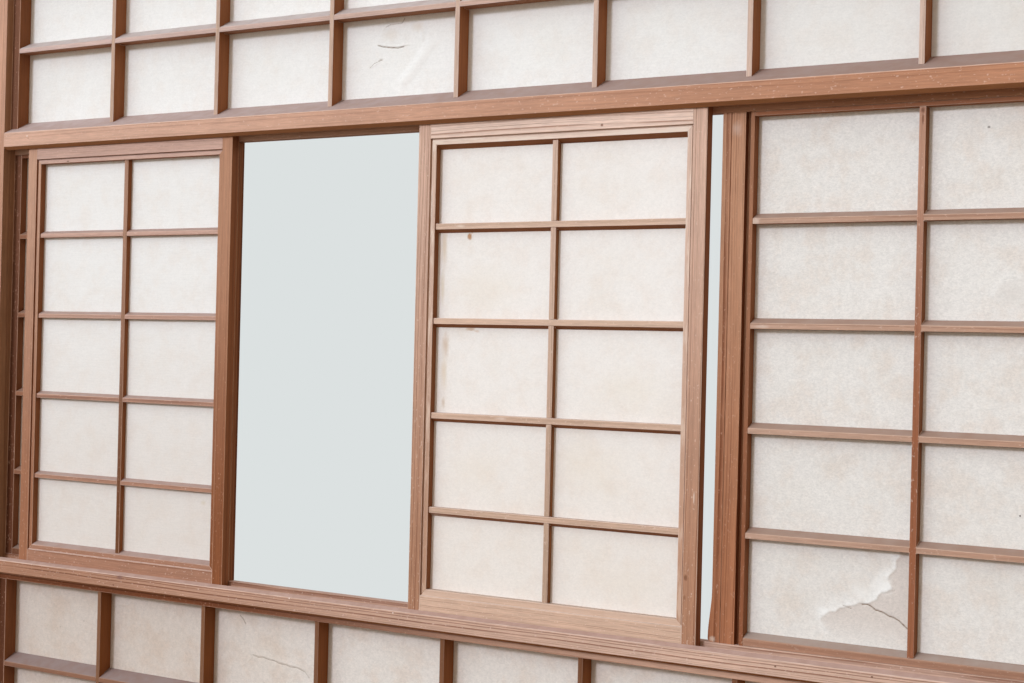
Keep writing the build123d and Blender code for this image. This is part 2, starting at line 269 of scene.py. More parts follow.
def addMarks(tree, colour, place, marks):
    # Each mark is (x, z, half width, half height, colour, strength, softness), in millimetres
    for x, z, halfWidth, halfHeight, markColour, strength, softness in marks:
        mask = placeGroup(tree, markGroup, {"Vector": place, "Centre": (x * mm, 0, z * mm),
                                            "Size": (halfWidth * mm, 1, halfHeight * mm),
                                            "Softness": softness})["Mask"]
        colour = mixColour(tree, calc(tree, "MULTIPLY", mask, strength), colour, tint(*markColour))
    return colour


# Wood, with its grain along one axis. pale and deep are the bleached front at the two ends of the fade, an
# axis with its start and end in metres; the fade, darker mostly low down, is partly painted shade where the
# light falls off and partly dirt. side is the browner wood away from the light, dust lies on the tops and
# worn is on the arrises.
# strip is a darker strip on a stile's or post's inner edge, painted shade where the stile or post shadows it;
# wear the rubbed strip inside a panel, whose ledge (the step where that strip meets the frame) is painted
# paler, painted light over the shade on that step; and upright the face of a lattice's own upright bar. Their
# places, and the marks', are in millimetres.

woodLooks = {
    "upperRailWood": dict(
        along="X", fade=("X", 0.6, -0.6), pale=(209, 168, 147), deep=(184, 131, 101), side=(138, 90, 57),
        dust=(183, 162, 158), dustDeep=(151, 127, 118), worn=(222, 190, 174), spacing=4.6,
        lines=0.4, bump=0.2, marks=[
            (-571, 727.2, 1.1, 1.1, (238, 226, 216), 0.9, 0.5),
            (-569, 724.6, 2.2, 0.7, (128, 88, 66), 0.6, 0.8)]),
    "lowerRailWood": dict(
        along="X", fade=("X", -0.62, 0.3), pale=(206, 171, 152), deep=(172, 126, 101), side=(129, 80, 50),
        dust=(183, 152, 141), worn=(218, 188, 174), spacing=2.6, lines=0.85, bump=0.6,
        marks=[(-411, 252, 6, 3.4, (126, 90, 84), 0.7, 0.8), (-420, 243, 1.4, 1, (96, 58, 42), 0.8, 0.6),
               (-178, 253, 0.9, 0.9, (240, 228, 218), 0.9, 0.5),
               (-51, 252, 1, 0.8, (240, 228, 218), 0.8, 0.5),
               (339.5, 249, 1.2, 1, (112, 78, 60), 0.9, 0.5),
               (422.5, 250.7, 1.2, 1, (110, 76, 59), 0.9, 0.5)]),
    "endRailWood": dict(
        along="X", fade=("X", 0.6, -0.6), pale=(204, 162, 140), deep=(184, 134, 106), side=(138, 90, 57),
        dust=(166, 138, 129), worn=(220, 186, 168), spacing=4.2, lines=0.4, bump=0.25, marks=[]),
    # The stile's strip tone is painted shade: the stile's own shadow on its inner strip.
    "stileWood": dict(
        along="Z", fade=("Z", 0.24, 0.86), pale=(200, 154, 130), deep=(154, 104, 76), side=(170, 128, 98),
        dust=(170, 145, 135), worn=(210, 170, 148), spacing=4.2, lines=0.4, bump=0.25,
        strip=dict(near=590, far=608.4, tone=(162, 145, 134), side=(136, 85, 54)), marks=[]),
    "upperBarWood": dict(
        along="Z", fade=("X", -0.6, 0.4), pale=(206, 178, 162), deep=(190, 158, 138), side=(152, 97, 62),
        dust=(191, 178, 174), worn=(224, 202, 190), spacing=3.4, lines=0.3, bump=0.2, marks=[]),
    "upperCrossbarWood": dict(
        along="X", fade=("X", 0.2, -0.6), pale=(205, 177, 168), deep=(202, 169, 153), side=(148, 100, 72),
        dust=(193, 180, 177), worn=(216, 196, 190), spacing=3.4, lines=0.3, bump=0.2, marks=[]),
    # The lower band's woods are darker than the upper band's: partly painted shade where the light falls off
    # low down, and partly dirt.
    "lowerBarWood": dict(
        along="Z", fade=("X", 0.3, -0.6), pale=(132, 92, 67), deep=(117, 76, 52), side=(140, 85, 48),
        dust=(145, 125, 120), worn=(158, 122, 102), spacing=3.4, lines=0.3, bump=0.2, marks=[]),
    "lowerCrossbarWood": dict(
        along="X", fade=("X", 0.3, -0.6), pale=(138, 97, 76), deep=(130, 90, 70), side=(129, 76, 44),
        dust=(147, 128, 124), worn=(176, 146, 130), spacing=3.4, lines=0.3, bump=0.2, marks=[]),
    # The head strip's deep colour, at its left end, is painted shade: the lower rail's shadow on the strip.
    "headStripWood": dict(
        along="X", fade=("X", -0.3, 0.25), pale=(196, 156, 134), deep=(116, 66, 40), side=(138, 82, 50),
        dust=(154, 125, 114), worn=(190, 146, 122), spacing=3.4, lines=0.4, bump=0.3, marks=[]),
    # The post's strip tone is painted shade: the post's shadow on the strip beside it.
    "postWood": dict(
        along="Z", fade=("Z", 0.27, 0.66), pale=(188, 140, 111), deep=(168, 110, 78), side=(136, 85, 54),
        dust=(164, 135, 122), worn=(196, 152, 126), spacing=3.3, lines=0.85, bump=0.6,
        strip=dict(near=297, far=303, tone=(212, 200, 192), side=(136, 85, 54)),
        marks=[(286, 695, 7, 9, (206, 178, 164), 0.5, 0.9), (274, 262, 4, 3.4, (222, 204, 186), 0.6, 0.8)]),
    "latticeWood": dict(
        along="X", fade=("X", 0.6, 0.3), pale=(190, 154, 134), deep=(180, 140, 118), side=(136, 87, 56),
        dust=(161, 135, 122), worn=(210, 180, 162), spacing=3.6, lines=0.5, bump=0.3,
        upright=dict(centre=447.5, halfFace=2.75, fade=(0.46, 0.68), pale=(183, 139, 117),
                     deep=(150, 94, 66)),
        marks=[(305, 616.3, 5, 4, (226, 206, 192), 0.5, 0.7), (313, 527.9, 9, 2, (222, 202, 188), 0.5, 0.8),
               (447.6, 702, 2.2, 3, (104, 62, 44), 0.7, 0.7), (447.8, 695, 1.3, 6, (112, 68, 46), 0.7, 0.7)]),
    # The left lattice's woods are darker copies of the right lattice's: painted shade, where the stile and
    # the left panel shadow it.
    "leftLatticeWood": dict(
        along="X", fade=("X", -0.6, -0.45), pale=(170, 128, 104), deep=(148, 102, 78), side=(118, 75, 48),
        dust=(150, 118, 102), worn=(184, 146, 124), spacing=3.6, lines=0.5, bump=0.3,
        upright=dict(centre=447.5, halfFace=2.75, fade=(0.46, 0.68), pale=(160, 116, 92),
                     deep=(134, 84, 58)),
        marks=[]),
    "leftLatticeStripWood": dict(
        along="X", fade=("X", -0.6, -0.45), pale=(136, 94, 72), deep=(120, 76, 54), side=(112, 68, 42),
        dust=(140, 116, 104), worn=(150, 108, 84), spacing=3.6, lines=0.45, bump=0.3, marks=[]),
    # Its darker colour high up (pale, at the fade's top end) is painted shade: the upper rail's shadow on the
    # lattice's head strip.
    "latticeStripWood": dict(
        along="X", fade=("Z", 0.3, 0.7), pale=(150, 98, 70), deep=(168, 125, 102), side=(134, 83, 52),
        dust=(163, 144, 134), worn=(184, 150, 130), spacing=3.6, lines=0.45, bump=0.3, marks=[]),
    "leftPanelLeftStileWood": dict(
        along="Z", fade=("Z", 0.28, 0.7), pale=(191, 149, 126), deep=(156, 104, 76), side=(134, 83, 52),
        dust=(170, 143, 131), worn=(204, 166, 144), spacing=3.8, lines=0.35, bump=0.25, marks=[]),
    "leftPanelRightStileWood": dict(
        along="Z", fade=("Z", 0.28, 0.7), pale=(182, 135, 108), deep=(136, 81, 50), side=(139, 87, 56),
        dust=(170, 143, 131), worn=(192, 146, 118), spacing=3.8, lines=0.4, bump=0.3, marks=[]),
    "leftPanelUprightWood": dict(
        along="Z", fade=("Z", 0.3, 0.7), pale=(172, 132, 110), deep=(108, 66, 40), side=(136, 83, 50),
        dust=(170, 145, 135), worn=(196, 158, 136), spacing=3.4, lines=0.35, bump=0.25, marks=[]),
    "leftPanelRailWood": dict(
        along="X", fade=("Z", 0.27, 0.7), pale=(200, 164, 149), deep=(168, 122, 99), side=(136, 85, 54),
        dust=(170, 145, 137), worn=(216, 184, 170), spacing=3.4, lines=0.5, bump=0.35,
        marks=[(-512.6, 697.4, 2.6, 0.9, (98, 60, 42), 0.8, 0.6)]),
    "rightPanelStileWood": dict(
        along="Z", fade=("Z", 0.28, 0.7), pale=(209, 173, 154), deep=(175, 128, 101), side=(136, 85, 54),
        dust=(183, 158, 145), worn=(222, 194, 176), spacing=2.9, lines=0.8, bump=0.7,
        wear=dict(axis="X", centre=112.75, near=129, far=137.3, colour=(232, 210, 194),
                  low=(206, 172, 150), ledge=(176, 136, 112)),
        marks=[(253, 313, 2.2, 3.4, (120, 76, 54), 0.75, 0.6), (252.5, 296, 1.6, 3, (128, 84, 60), 0.6, 0.7),
               (-23, 640, 2.2, 26, (232, 216, 204), 0.7, 0.9),
               (259, 381.4, 0.7, 7, (234, 216, 202), 0.8, 0.7)]),
    "rightPanelUprightWood": dict(
        along="Z", fade=("Z", 0.3, 0.66), pale=(207, 176, 157), deep=(190, 158, 136), side=(139, 90, 56),
        dust=(183, 158, 145), worn=(222, 196, 180), spacing=3.4, lines=0.5, bump=0.4, marks=[]),
    "rightPanelRowWood": dict(
        along="X", fade=("Z", 0.34, 0.62), pale=(214, 182, 161), deep=(202, 169, 147), side=(136, 85, 55),
        dust=(183, 158, 145), worn=(224, 198, 182), spacing=3.7, lines=0.2, bump=0.3,
        marks=[(10, 617, 7, 2, (234, 216, 202), 0.6, 0.9), (60, 440, 9, 2, (232, 212, 198), 0.5, 0.9)]),
    "rightPanelRailWood": dict(
        along="X", fade=("Z", 0.28, 0.7), pale=(230, 201, 185), deep=(206, 172, 150), side=(136, 85, 54),
        dust=(191, 168, 154), worn=(226, 200, 184), spacing=2.9, lines=0.75, bump=0.7,
        wear=dict(axis="Z", centre=485.2, near=206, far=214.4, colour=(234, 214, 199),
                  low=(210, 178, 158), ledge=(184, 146, 124)),
        marks=[(160.4, 703.2, 1.8, 1.6, (116, 74, 52), 0.8, 0.6),
               (256, 709, 4, 2, (112, 80, 64), 0.6, 0.8), (257, 262, 4, 2.5, (236, 222, 210), 0.7, 0.8)]),
}

woodMake = dict(
    wander=9 * mm, lateWood=(164, 132, 112), fine=(0.90, 1.10), cloud=(0.93, 1.07), edge=0.1 * mm,
    scuffs=(50, 260, 260), scuffed=(0.5, 0.9), specks=(330, 620, 620), speckCover=0.6,
    dustScale=70, dustCover=(0.78, 1.0), streaks=(22, 130, 130), streakCover=(0.3, 0.95), wornLines=0.25,
    wearIn=0.5, wearOut=0.4, ledge=(-0.8, -0.3, 0.4, 0.9),
    rough=(0.62, 0.85), fineBump=0.25, bumpDepth=0.4 * mm, bumpStrength=0.5, gloss=0.12)


def makeWood(name):
    look = woodLooks[name]
    material, tree, shader = newMaterial(name)
    coords = newNode(tree, "ShaderNodeTexCoord").outputs
    place = coords["Object"]
    upEnd = newNode(tree, "ShaderNodeMapping", {"Vector": place, "Rotation": (0, math.pi / 2, 0)}).outputs[0]
    vector = place if look["along"] == "X" else upEnd  # the grain runs along this vector's X
    split = newNode(tree, "ShaderNodeSeparateXYZ", {0: place}).outputs
    axis, start, end = look["fade"]
    # The fade is partly painted shade, where the light falls off, and partly dirt.
    fadeShare = remap(tree, split[axis], start, end)
    front = mixColour(tree, fadeShare, tint(*look["deep"]), tint(*look["pale"]))
    if "upright" in look:
        # The lattice is one mesh, so the wood of its upright takes over within that bar's face
        upright = look["upright"]
        fromMiddle = calc(tree, "SUBTRACT", calc(tree, "ABSOLUTE", split["X"]), upright["centre"] * mm)
        halfFace = upright["halfFace"] * mm
        inside = remap(tree, calc(tree, "ABSOLUTE", fromMiddle), halfFace + woodMake["edge"], halfFace)
        vector = newNode(tree, "ShaderNodeMix", {0: inside, 4: vector, 5: upEnd},
                         data_type="VECTOR").outputs[1]
        own = mixColour(tree, remap(tree, split["Z"], *upright["fade"]), tint(*upright["deep"]),
                        tint(*upright["pale"]))
        front = mixColour(tree, inside, front, own)
    grain = placeGroup(tree, grainGroup,
                       {"Vector": vector, "Spacing": look["spacing"] * mm, "Wander": woodMake["wander"]})
    facing = placeGroup(tree, facingGroup, {"Normal": coords["Normal"]})
    side = tint(*look["side"])
    # The strip's darker front is painted shade, where the stile or post casts its shadow on the strip.
    if "strip" in look:
        strip = look["strip"]
        fromMiddle = calc(tree, "ABSOLUTE", split["X"])
        near, far = strip["near"] * mm, strip["far"] * mm
        inside = calc(tree, "MULTIPLY", remap(tree, fromMiddle, near - woodMake["edge"], near),
                      remap(tree, fromMiddle, far, far - woodMake["edge"]))
        front = mixColour(tree, inside, front, tint(*strip["tone"]), "MULTIPLY")
        side = mixColour(tree, inside, side, tint(*strip["side"]))
    if "wear" in look:
        wear = look["wear"]
        near, far = wear["near"], wear["far"]
        away = calc(tree, "ABSOLUTE", calc(tree, "SUBTRACT", split[wear["axis"]], wear["centre"] * mm))
        zone = calc(tree, "MULTIPLY", remap(tree, away, (near - woodMake["wearIn"]) * mm, near * mm),
                    remap(tree, away, far * mm, (far - woodMake["wearOut"]) * mm))
        # The ledge is the step where the worn strip meets the frame; its paler colour is painted light, laid
        # over the shade that falls on that step.
        rising, full, falling, over = ((far + step) * mm for step in woodMake["ledge"])
        ledge = calc(tree, "MULTIPLY", remap(tree, away, rising, full), remap(tree, away, over, falling))
        side = mixColour(tree, ledge, side, tint(*wear["ledge"]))
    colour = mixColour(tree, facing["Front"], side, front)
    lateWood = calc(tree, "MULTIPLY", grain["Lines"], look["lines"])
    if "wear" in look:
        lateWood = calc(tree, "MULTIPLY", lateWood, remap(tree, zone, 0.0, 1.0, 1.0, woodMake["wornLines"]))
    colour = mixColour(tree, lateWood, colour, tint(*woodMake["lateWood"]), "MULTIPLY")
    brightness = calc(tree, "MULTIPLY", remap(tree, grain["Fine"], 0.3, 0.7, *woodMake["fine"]),
                      remap(tree, grain["Cloud"], 0.25, 0.75, *woodMake["cloud"]))
    colour = shaded(tree, colour, brightness)
    scuff = noiseAt(tree, scaled(tree, vector, woodMake["scuffs"]), 1.0, 3.0, 0.6)
    rubbed = calc(tree, "MULTIPLY", facing["Arris"], remap(tree, scuff, 0.3, 0.65, *woodMake["scuffed"]))
    colour = mixColour(tree, rubbed, colour, tint(*look["worn"]))
    specks = noiseAt(tree, scaled(tree, vector, woodMake["specks"]), 1.0, 2.0, 0.5)
    fleck = remap(tree, specks, 0.63, 0.74, 0.0, woodMake["speckCover"])
    colour = mixColour(tree, calc(tree, "MULTIPLY", fleck, facing["Front"]), colour, tint(*look["worn"]))
    dustNoise = noiseAt(tree, place, woodMake["dustScale"], 4.0, 0.6)
    dustCover = remap(tree, dustNoise, 0.3, 0.7, *woodMake["dustCover"])
    dust = tint(*look["dust"])
    if "dustDeep" in look:
        dust = mixColour(tree, fadeShare, tint(*look["dustDeep"]), dust)
    colour = mixColour(tree, calc(tree, "MULTIPLY", facing["Top"], dustCover), colour, dust)
    if "wear" in look:
        streaks = noiseAt(tree, scaled(tree, vector, woodMake["streaks"]), 1.0, 4.0, 0.65)
        rubbed = calc(tree, "MULTIPLY", remap(tree, streaks, 0.48, 0.62, *woodMake["streakCover"]), zone)
        rubbedWood = mixColour(tree, fadeShare, tint(*wear["low"]), tint(*wear["colour"]))
        colour = mixColour(tree, calc(tree, "MULTIPLY", rubbed, facing["Front"]), colour, rubbedWood)
    colour = addMarks(tree, colour, place, look["marks"])
    plug(tree, shader.inputs["Base Color"], colour)
    plug(tree, shader.inputs["Roughness"], remap(tree, grain["Fine"], 0.2, 0.8, *woodMake["rough"]))
    height = calc(tree, "ADD", calc(tree, "MULTIPLY", grain["Lines"], look["bump"]),
                  calc(tree, "MULTIPLY", grain["Fine"], woodMake["fineBump"]))
    bump = newNode(tree, "ShaderNodeBump", {"Strength": woodMake["bumpStrength"],
                                            "Distance": woodMake["bumpDepth"], "Height": height})
    plug(tree, shader.inputs["Normal"], bump.outputs[0])
    shader.inputs["Specular IOR Level"].default_value = woodMake["gloss"]
    return material


woods = {name: makeWood(name) for name in woodLooks}
print("wood materials made:", len(woods))


def woodFor(node):
    if node.startswith("left_panel"):
        if node.endswith("upright"):
            return "leftPanelUprightWood"
        if node.endswith("stile"):
            return "leftPanelRightStileWood" if node.endswith("right_stile") else "leftPanelLeftStileWood"
        return "leftPanelRailWood"
    if node.startswith("right_panel"):
        if node.endswith("upright"):
            return "rightPanelUprightWood"
        if node.endswith("stile"):
            return "rightPanelStileWood"
        return "rightPanelRailWood" if node.endswith("rail") else "rightPanelRowWood"
    if "lattice" in node:
        if node.endswith("bars"):
            return "leftLatticeWood" if node.startswith("left") else "latticeWood"
        return "leftLatticeStripWood" if node.startswith("left") else "latticeStripWood"
    if node.endswith("post"):
        return "postWood"
    if node.endswith("stile"):
        return "stileWood"
    if node == "lower_band_head_strip":
        return "headStripWood"
    if "band" in node:
        band = node.split("_")[0]
        return f"{band}CrossbarWood" if node.endswith("crossbar") else f"{band}BarWood"
    return {"upper_track_rail": "upperRailWood", "lower_track_rail": "lowerRailWood"}.get(node, "endRailWood")


arris = dict(weld=0.001 * mm, width=0.5 * mm, segments=2, angle=30)


def dressWood(node):
    piece = nodes[node]
    piece.data.materials.clear()
    piece.data.materials.append(woods[woodFor(node)])
    weld = piece.modifiers.new("weld", "WELD")
    weld.merge_threshold = arris["weld"]
    bevel = piece.modifiers.new("arris", "BEVEL")
    bevel.width = arris["width"]
    bevel.segments = arris["segments"]
    bevel.limit_method = "ANGLE"
    bevel.angle_limit = math.radians(arris["angle"])


for node in nodes:
    if not node.endswith("paper"):
        dressWood(node)
print("wood dressed")


# Paper. Each sheet is pasted on the backs of its bars and slack between them. Creases, lips and peeled places
# are broken lines of (x, z) in millimetres, with their width and how far they stand to the front.

# high and low are a sheet's colour at the two ends of its fade: partly painted shade where the light falls
# off, and partly stain.
paperLooks = {
    "upper_band_paper": dict(
        body="leaf", carrier="upper_band_crossbar", flat=(1215, 176.7), slack=0.22,
        high=(242, 240, 237), low=(228, 224, 219), fade=("X", 0.6, 0.0),
        laid=0.5, grain=1.3, mottle=0.5, dirt=0.1, blush=0.25,
        features=[
            dict(kind="lip", width=2.2, height=0.9, points=[(-104.9, 797.3), (-98.2, 795.4), (-88.5, 793.9),
                                                            (-80, 793), (-71.7, 793.8), (-64, 794.2)]),
            dict(kind="crack", width=1.1, height=0.3, dark=0.75, points=[
                (-104.4, 796.6), (-98.2, 794.7), (-88.5, 793.2), (-80, 792.3), (-73, 793.2)]),
            dict(kind="crack", width=0.9, height=0.2, dark=0.6, points=[
                (-94.9, 813.8), (-88.8, 815.6), (-75.8, 816), (-72.6, 820.5)]),
            dict(kind="crack", width=0.9, height=0.2, dark=0.6, points=[
                (-113.6, 775.2), (-108.5, 779), (-98.2, 782.3)]),
            dict(kind="fold", width=1.6, height=0.55, points=[(-60.7, 823.5), (-68, 822.6), (-74.9, 820.9),
                                                              (-77, 817.2), (-84, 816.2), (-94, 814.7)]),
            dict(kind="fold", width=1.4, height=0.35, points=[(-94, 814.7), (-99, 811), (-101, 806)]),
            dict(kind="fold", width=1.2, height=0.4, points=[(-113.5, 775.2), (-104, 779.5), (-97.9, 783.9)]),
            dict(kind="fold", width=4, height=0.5, points=[(-59.3, 815.7), (-53, 808), (-50.4, 795.8)]),
            dict(kind="fold", width=9, height=0.8, pale=1, points=[
                (-38, 799), (-50, 784), (-60, 772), (-78, 754)])],
        marks=[(-57, 811, 10, 8, (222, 206, 188), 0.4, 0.95),
               (-90, 805, 14, 8, (228, 216, 202), 0.35, 0.95)]),
    "lower_band_paper": dict(
        body="leaf", carrier="lower_band_crossbar", flat=(1215, 198), slack=0.3,
        high=(227, 218, 210), low=(212, 199, 189), fade=("X", -0.38, -0.1),
        laid=0.25, grain=2.2, mottle=1.1, dirt=0.2, blush=0.6,
        features=[
            dict(kind="crack", width=1.0, height=0.3, dark=0.7, points=[
                (-263.4, 224.4), (-258.9, 221), (-255.6, 216.4)]),
            dict(kind="crack", width=0.9, height=0.2, dark=0.6, points=[
                (-245.1, 186.4), (-238, 184.4), (-230.3, 185.2), (-222.9, 183.4), (-216, 183.8),
                (-211.4, 181.6), (-201, 181), (-195, 179.4), (-186.7, 180), (-176.3, 176.8),
                (-171.1, 171.6)]),
            dict(kind="fold", width=1.2, height=0.35, points=[(-263.8, 224.6), (-260, 221), (-256.7, 216.2)]),
            dict(kind="lip", width=7, height=0.8, points=[
                (-250.4, 187.3), (-245.1, 185.4), (-230.3, 185.4), (-222.9, 184.6), (-211.4, 182.9),
                (-201, 181.5), (-186.7, 180.6), (-176.3, 177.9), (-171.1, 172.3)]),
            dict(kind="fold", width=1.4, height=0.3, points=[(-262, 171), (-250, 180), (-243.6, 186)]),
            dict(kind="fold", width=1.3, height=0.35, points=[(-436.5, 217.2), (-423, 218.6),
                                                              (-415.7, 224.6)]),
            dict(kind="fold", width=1.0, height=0.25, points=[(-446, 222), (-440, 218), (-436.5, 217.2)])],
        marks=[(-489.2, 194.3, 1.2, 1.2, (120, 100, 84), 0.5, 0.8),
               (-526, 184, 1.1, 1, (124, 104, 88), 0.5, 0.8)]),
    "left_lattice_paper": dict(
        body="leaf", carrier="left_lattice_bars", flat=(307.7, 459.7), slack=0.22,
        high=(230, 224, 218), low=(222, 214, 207), fade=("Z", 0.27, 0.6),
        laid=0.25, grain=2.6, mottle=0.9, dirt=0.2, blush=0.5,
        features=[], marks=[]),
    "right_lattice_paper": dict(
        body="leaf", carrier="right_lattice_bars", flat=(307.7, 459.7), slack=0.22,
        high=(232, 227, 222), low=(227, 221, 215), fade=("Z", 0.27, 0.6),
        laid=0.25, grain=2.6, mottle=0.9, dirt=0.15, blush=0.5,
        features=[
            dict(kind="peel", width=2.2, height=0.4, points=[
                (446, 350), (434, 349.5), (434.6, 345), (431, 341), (431.6, 336), (429.5, 332.2), (426, 329),
                (424.6, 325.6), (427.4, 321.5), (428.4, 318.4), (424, 315.6), (419.6, 314.4), (417, 311.8),
                (415.6, 308.4), (411, 306), (407, 303.6), (401, 304.4), (397, 301.8), (392, 301),
                (388, 299.4), (384, 298.4), (380.4, 295), (375, 294.4), (371, 291), (368, 287), (374, 279),
                (386, 272), (402, 266), (446, 262)], fadeBelow=(268, 294)),
            dict(kind="crack", width=0.6, height=0.3, dark=0.4, points=[
                (428.6, 326), (430.8, 322), (430, 316.8), (424, 314.2)]),
            dict(kind="crack", width=0.9, height=1.1, dark=0.9, points=[
                (403, 303.4), (407.5, 304), (411, 302.4), (414.4, 300), (417, 299.6), (421.6, 298.4),
                (425.8, 296.2), (430, 295.4), (434.6, 293.2), (438, 290.4), (441.6, 287.6), (446, 282.6)]),
            dict(kind="crack", width=0.7, height=0.7, dark=0.7, points=[
                (386.6, 300.6), (391, 300.2), (394, 298.8)]),
            dict(kind="crack", width=0.6, height=0.2, dark=0.35, points=[
                (513, 567.6), (521.2, 568.7), (529, 569.2)]),
            dict(kind="fold", width=2, height=0.4, points=[(306, 549), (311.5, 543.8), (314.3, 540.4)]),
            dict(kind="fold", width=5, height=0.3, points=[(498, 536), (500, 541), (507.4, 559.4),
                                                           (514.3, 567.2), (521.2, 568.7), (534, 570)])],
        marks=[(420, 321, 12, 12, (243, 241, 238), 0.6, 0.95),
               (404, 314, 18, 11, (240, 238, 234), 0.45, 0.95), (370, 295, 8, 5, (243, 241, 238), 0.65, 0.9),
               (520, 556, 15, 13, (208, 199, 191), 0.35, 0.9),
               (498.1, 687.1, 1.6, 1.3, (104, 94, 88), 0.75, 0.6),
               (529.4, 384.7, 1, 1, (86, 76, 70), 0.85, 0.5)]),
    "left_panel_paper": dict(
        body="left_panel", carrier="left_panel_upright", flat=(272.5, 429.8), slack=0.12,
        high=(240, 237, 234), low=(225, 216, 209), fade=("Z", 0.27, 0.62),
        laid=0.8, grain=1.0, mottle=0.35, dirt=0.12, blush=0.3, features=[],
        marks=[(-308, 337, 5, 3.4, (206, 190, 160), 0.4, 0.9)]),
    "right_panel_paper": dict(
        body="right_panel", carrier="right_panel_upright", flat=(272.5, 426.9), slack=0.12,
        high=(242, 236, 231), low=(236, 227, 219), fade=("Z", 0.28, 0.56),
        laid=0.25, grain=1.2, mottle=0.5, dirt=0.2, blush=0.3, features=[],
        marks=[(16.4, 607.6, 3.2, 4.2, (192, 144, 104), 0.95, 0.6),
               (19, 612, 2, 2.4, (206, 164, 128), 0.7, 0.8), (20, 521.5, 7, 2.4, (204, 172, 146), 0.7, 0.7),
               (27, 519.6, 4, 1.6, (212, 182, 156), 0.5, 0.8),
               (-12, 600, 5, 26, (216, 190, 156), 0.55, 0.95), (-13, 560, 4, 24, (222, 202, 172), 0.5, 0.95),
               (-8, 506, 6, 17, (196, 158, 118), 0.5, 0.95), (-9, 480, 5, 22, (222, 200, 170), 0.5, 0.95),
               (-9, 452, 3, 7, (192, 160, 124), 0.45, 0.9), (40, 560, 60, 30, (236, 222, 204), 0.25, 1.0),
               (190, 470, 50, 30, (234, 220, 200), 0.25, 1.0), (150, 400, 60, 34, (232, 216, 196), 0.25, 1.0),
               (190, 300, 60, 26, (228, 212, 194), 0.25, 1.0), (30, 390, 40, 30, (232, 216, 196), 0.2, 1.0)]),
}

# How a sheet is shaped, in millimetres. free is how far beside the paste it is still held, and over how far
# it then goes slack. The grid is fine around each feature, as far as its reach and the halo go. The paper
# beside a peeled place thins towards it (rim) and stands up at it (curl), and the edge is softer low down.

paperMake = dict(
    grid=4.0, fineGrid=0.8, fineFrom=2, halo=4, thickness=0.18, pastedEdge=(17.5, 6.0),
    panelPastedEdge=(6.0, 6.0), free=(1.5, 14), freeCurve=0.7, broadWave=(46, 38), smallWave=15,
    smallShare=0.35, featureFree=2, featureReach=2, peelReach=14, taper=0.12)
peelEdge = dict(rim=13, curl=3, curlShare=0.6, softBelow=296, softRate=0.5)
sideLattice = dict(upright=447.5, halfFace=2.7, rowPitch=88.2, rowBelow=2.4, rowAbove=7)


def clamped(value):
    return min(1, max(0, value))


def lineReach(x, z, points):
    # Distance to a broken line, the side it is on, and how far along it the nearest place is (0 to 1)
    total = sum(math.dist(a, b) for a, b in zip(points, points[1:]))
    nearest, walked = (1e9, 1, 0), 0
    for (ax, az), (bx, bz) in zip(points, points[1:]):
        length = math.dist((ax, az), (bx, bz))
        t = clamped(((x - ax) * (bx - ax) + (z - az) * (bz - az)) / length ** 2)
        gap = math.dist((x, z), (ax + t * (bx - ax), az + t * (bz - az)))
        if gap < nearest[0]:
            turn = (bx - ax) * (z - az) - (bz - az) * (x - ax)
            nearest = (gap, 1 if turn * (1 if bx >= ax else -1) > 0 else -1, (walked + t * length) / total)
        walked += length
    return nearest


def insideLoop(x, z, points):
    crossings = 0
    for (ax, az), (bx, bz) in zip(points, points[1:] + points[:1]):
        if (az > z) != (bz > z) and x < ax + (z - az) * (bx - ax) / (bz - az):
            crossings += 1
    return crossings % 2 == 1


def featureLift(feature, x, z):
    # How far the paper stands to the front here, and how much of it is bare under-layer, thin rim or crack
    kind, width, height, points = (feature[key] for key in ("kind", "width", "height", "points"))
    if kind == "peel":
        gap = lineReach(x, z, points + points[:1])[0]
        signed = gap if insideLoop(x, z, points) else -gap
        low, high = feature["fadeBelow"]
        there = clamped((z - low) / (high - low))
        step = width + peelEdge["softRate"] * max(0, peelEdge["softBelow"] - z)
        bare = clamped(0.5 + signed / step) * there
        rim = max(0, 1 + signed / peelEdge["rim"]) * there if signed < 0 else 0
        curl = max(0, 1 + signed / peelEdge["curl"]) * there if signed < 0 else 0
        return peelEdge["curlShare"] * height * curl - height * bare, bare, rim, 0
    gap, side, along = lineReach(x, z, points)
    ends = min(1, along / paperMake["taper"], (1 - along) / paperMake["taper"])
    if kind == "lip":
        return (height * ends * max(0, 1 - gap / width) if side > 0 else 0), 0, 0, 0
    near = max(0, 1 - gap / width)
    if kind == "crack":
        return -height * near, 0, 0, near * feature["dark"]
    near = near * near * (3 - 2 * near)
    return height * ends * near, 0, near * feature.get("pale", 0), 0


def pastedStretches(node):
    # Where the bars cross the sheet: their spans along X and along Z, in millimetres
    if node.endswith("lattice_paper"):
        low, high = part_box(node.replace("lattice_paper", "post"))
        x = sideLattice["upright"] * (-1 if node.startswith("left") else 1)
        rows = [(low.z + high.z) / 2 / mm + k * sideLattice["rowPitch"] for k in (-1.5, -0.5, 0.5, 1.5)]
        return ([(x - sideLattice["halfFace"], x + sideLattice["halfFace"])],
                [(row - sideLattice["rowBelow"], row + sideLattice["rowAbove"]) for row in rows])
    carrier = node.rsplit("_", 1)[0]
    across, upwards = [], []
    for other in nodes:
        if other.startswith(carrier) and ("_bar_" in other or other.endswith("upright")):
            low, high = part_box(other)
            across.append((low.x / mm, high.x / mm))
        elif other.startswith(carrier) and ("_row_" in other or other.endswith("crossbar")):
            low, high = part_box(other)
            upwards.append((low.z / mm, high.z / mm))
    return across, upwards


def gapTo(value, stretches):
    return min(max(low - value, value - high, 0) for low, high in stretches)


def featureBoxes(features):
    # Left, right, bottom and top of the stretch that each feature changes
    boxes = []
    for feature in features:
        peel = feature["kind"] == "peel"
        reach = paperMake["peelReach"] if peel else feature["width"] + paperMake["featureReach"]
        xs, zs = zip(*feature["points"])
        boxes.append((min(xs) - reach, max(xs) + reach, min(zs) - reach, max(zs) + reach))
    return boxes


